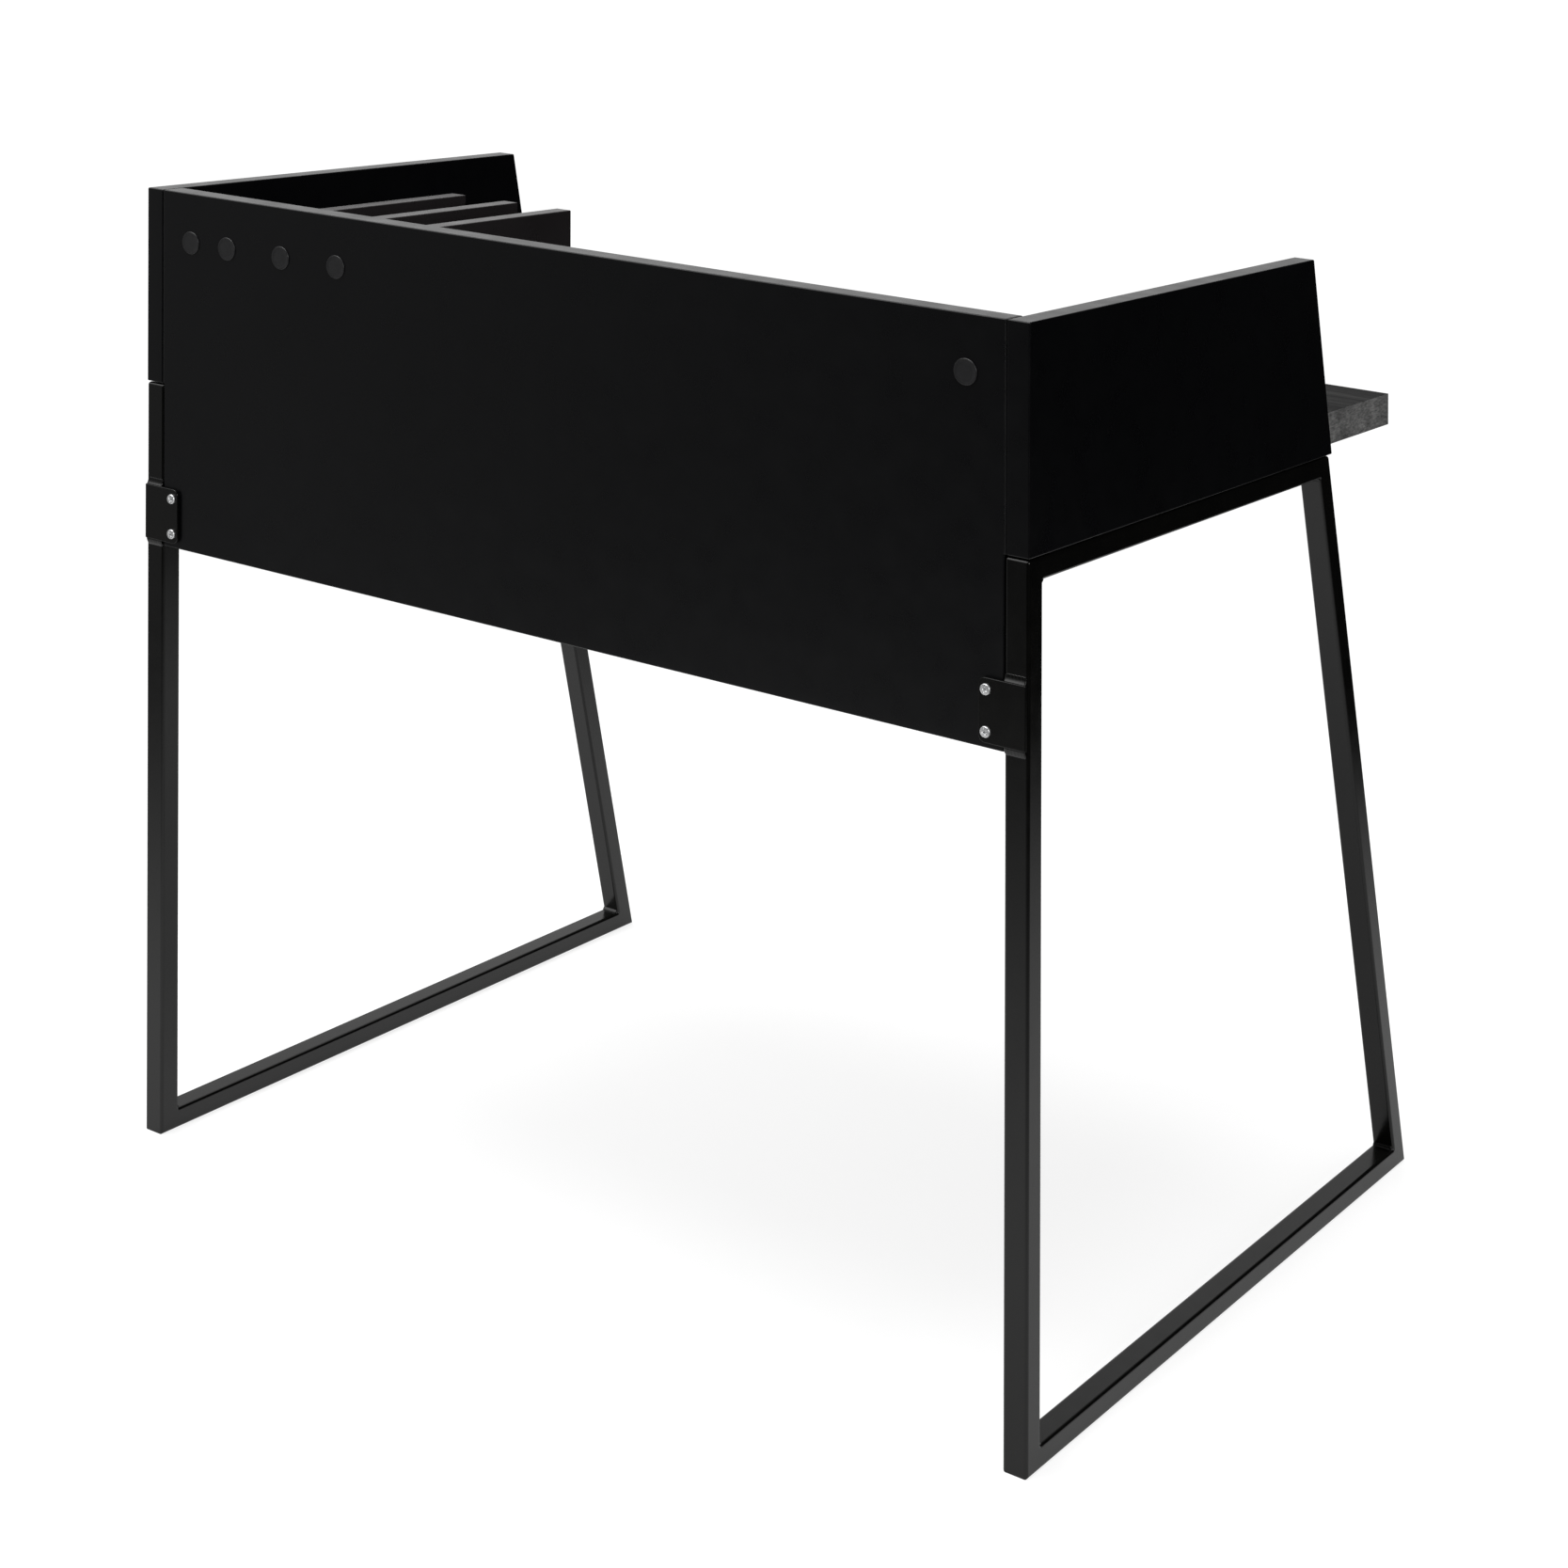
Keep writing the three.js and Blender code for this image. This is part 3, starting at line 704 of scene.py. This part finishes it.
def build_cap(node):
    """A round cover cap: a thin disc with a soft raised rim round a faintly domed face."""
    lo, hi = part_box(node)
    centre = (lo + hi) / 2
    radius = (hi.z - lo.z) / 2
    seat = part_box("back_panel")[1].y + SEAT_GAP
    top = hi.y - 0.12 * MM
    profile = [
        (STEM_RADIUS - STEM_CHAMFER, lo.y),
        (STEM_RADIUS, lo.y + STEM_CHAMFER),
        (STEM_RADIUS, seat),
        (radius - 0.15 * MM, seat),
        (radius, seat + 0.12 * MM),
    ]
    for step in range(7):
        angle = math.pi / 2 * step / 6
        profile.append((
            radius - RIM_RADIUS * (1 - math.cos(angle)),
            top - RIM_RADIUS * (1 - math.sin(angle)),
        ))
    inner = radius - RIM_WIDTH
    profile.append((inner, top))
    for step in range(1, 8):
        part = step / 8
        profile.append((inner * (1 - part), hi.y - (0.32 - 0.12 * part) * MM))
    bm = bmesh.new()
    rings = []
    angles = [2 * math.pi * step / CAP_SIDES for step in range(CAP_SIDES)]
    for distance, y in profile:
        rings.append([
            bm.verts.new((
                centre.x + distance * math.cos(angle),
                y,
                centre.z + distance * math.sin(angle),
            ))
            for angle in angles
        ])
    bridge(bm, rings)
    bm.faces.new(rings[0])
    bm.faces.new(rings[-1])
    item = piece(f"{node}_disc", bm, CAP_PLASTIC, "cap_plastic", node)
    weigh(item)


# ---------------------------------------------------------------- stage and light

FLOOR_RADIUS = 2.4
# Brightness of the surround's parts, as the desk is lit by them and reflects them.
OVERHEAD = 1.1
BACKDROP = 0.95
ROOM = 0.23
REAR_PANEL = 2.2
SURROUND = 0.008
LAMPS = (
    # name, strength, the direction that it shines from, angular width in degrees
    ("key", 2.6, (0.05, 0.08, 1.0), 42),
    ("fill", 1.15, (-0.88, 0.30, 0.32), 30),
)


def add_floor():
    """A round pale floor under the desk."""
    bm = bmesh.new()
    bmesh.ops.create_circle(bm, cap_ends=True, radius=FLOOR_RADIUS, segments=128)
    mesh = bpy.data.meshes.new("floor")
    bm.to_mesh(mesh)
    bm.free()
    mesh.materials.append(FLOOR)
    floor = bpy.data.objects.new("floor", mesh)
    bpy.context.scene.collection.objects.link(floor)


def light_world():
    """A white surround, bright overhead and beyond the desk on one side, dark on the other."""
    world = bpy.data.worlds.new("studio")
    bpy.context.scene.world = world
    world.use_nodes = True
    world.node_tree.nodes.clear()
    t = Tree(world.node_tree)
    direction = t.add("ShaderNodeTexCoord").outputs["Generated"]
    x, y, z = t.add("ShaderNodeSeparateXYZ", (0, direction)).outputs

    def smooth(value, low, high, to_low, to_high):
        """As remap, with an eased start and end."""
        node = t.add(
            "ShaderNodeMapRange",
            ("Value", value),
            ("From Min", low),
            ("From Max", high),
            ("To Min", to_low),
            ("To Max", to_high),
            interpolation_type="SMOOTHSTEP",
        )
        return node.outputs["Result"]

    overhead = t.math("MULTIPLY", smooth(z, 0.55, 0.85, 0, OVERHEAD), smooth(x, -0.4, 0.3, 0, 1))
    wall = t.math("MULTIPLY", smooth(x, -0.15, 0.6, 0, BACKDROP), smooth(y, -0.6, 0.1, 1, 0))
    band = t.math("MULTIPLY", smooth(z, -0.06, 0.16, 0, 1), smooth(z, 0.14, 0.45, 1, 0.42))
    backdrop = t.math("MULTIPLY", wall, band)
    room = t.math("MULTIPLY", smooth(x, 0.32, 0.75, 0, ROOM), smooth(y, -0.6, 0.0, 0, 1))
    rear = t.math("MULTIPLY", smooth(z, 0.25, 0.7, 0, REAR_PANEL), smooth(y, 0.0, 0.3, 0, 1))
    rear = t.math("MULTIPLY", rear, smooth(x, 0.1, 0.4, 0, 1))
    lights = t.math("ADD", t.math("ADD", overhead, backdrop), t.math("ADD", room, rear))
    total = t.math("ADD", lights, SURROUND)
    seen = t.add("ShaderNodeLightPath").outputs["Is Camera Ray"]
    lit = t.add("ShaderNodeBackground", ("Color", (1, 1, 1, 1)), ("Strength", total))
    white = t.add("ShaderNodeBackground", ("Color", (1, 1, 1, 1)), ("Strength", SEEN_WHITE))
    mixed = t.add("ShaderNodeMixShader", (0, seen), (1, lit.outputs[0]), (2, white.outputs[0]))
    t.add("ShaderNodeOutputWorld", ("Surface", mixed.outputs[0]))


def add_lamps():
    """Soft lamps: one overhead, and a low fill beside the left frame."""
    for name, strength, shines_from, width in LAMPS:
        lamp = bpy.data.lights.new(name, "SUN")
        lamp.energy = strength
        lamp.angle = math.radians(width)
        item = bpy.data.objects.new(name, lamp)
        item.rotation_euler = Vector(shines_from).to_track_quat("Z", "Y").to_euler()
        bpy.context.scene.collection.objects.link(item)


# ---------------------------------------------------------------- assembly

BOARD_EDGE = 1.1 * MM
DESKTOP_EDGE = 0.5 * MM
TAB_EDGE = 0.3 * MM

dress("desktop", DESKTOP_WOOD, DESKTOP_EDGE)
for board in ("back_panel", "left_side_panel", "right_side_panel"):
    dress(board, BLACK_BOARD, BOARD_EDGE)
for number in DIVIDERS:
    dress(f"divider_{number}", BLACK_BOARD, BOARD_EDGE)
    dress(f"divider_{number}_dowel", BEECH)
    dress(f"divider_{number}_screw", ZINC)
    build_cap(f"divider_{number}_cap")

# How far each bracket screw's cross is turned, in degrees: the lower one, then the upper.
SCREW_TURNS = {"left": (12, 71), "right": (38, 155)}
for side, sign in SIDES:
    build_side_frame(side)
    build_bracket(side, sign)
    build_cap(f"{side}_corner_cap")
    for level, turn in zip(("lower", "upper"), SCREW_TURNS[side]):
        screw = f"{side}_bracket_screw_{level}"
        build_screw(f"{screw}_detail", screw, (0, 1, 0), turn)
    for number in (1, 2, 3, 4):
        screw = f"{side}_seat_screw_{number}"
        build_screw(f"{screw}_detail", screw, (0, 0, -1), 37 * number)
    for end in ("rear", "front"):
        dress(f"{side}_{end}_seat_tab", FRAME_STEEL, TAB_EDGE)
        dress(f"{side}_{end}_desktop_cam", ZINC)
        dress(f"{side}_{end}_desktop_cam_bolt", ZINC)
    dress(f"{side}_back_cam", ZINC)
    dress(f"{side}_back_cam_bolt", ZINC)

add_floor()
light_world()
add_lamps()
add_camera()

settings = bpy.context.scene.view_settings
settings.view_transform = "Standard"
settings.look = "None"
settings.exposure = 0
settings.gamma = 1
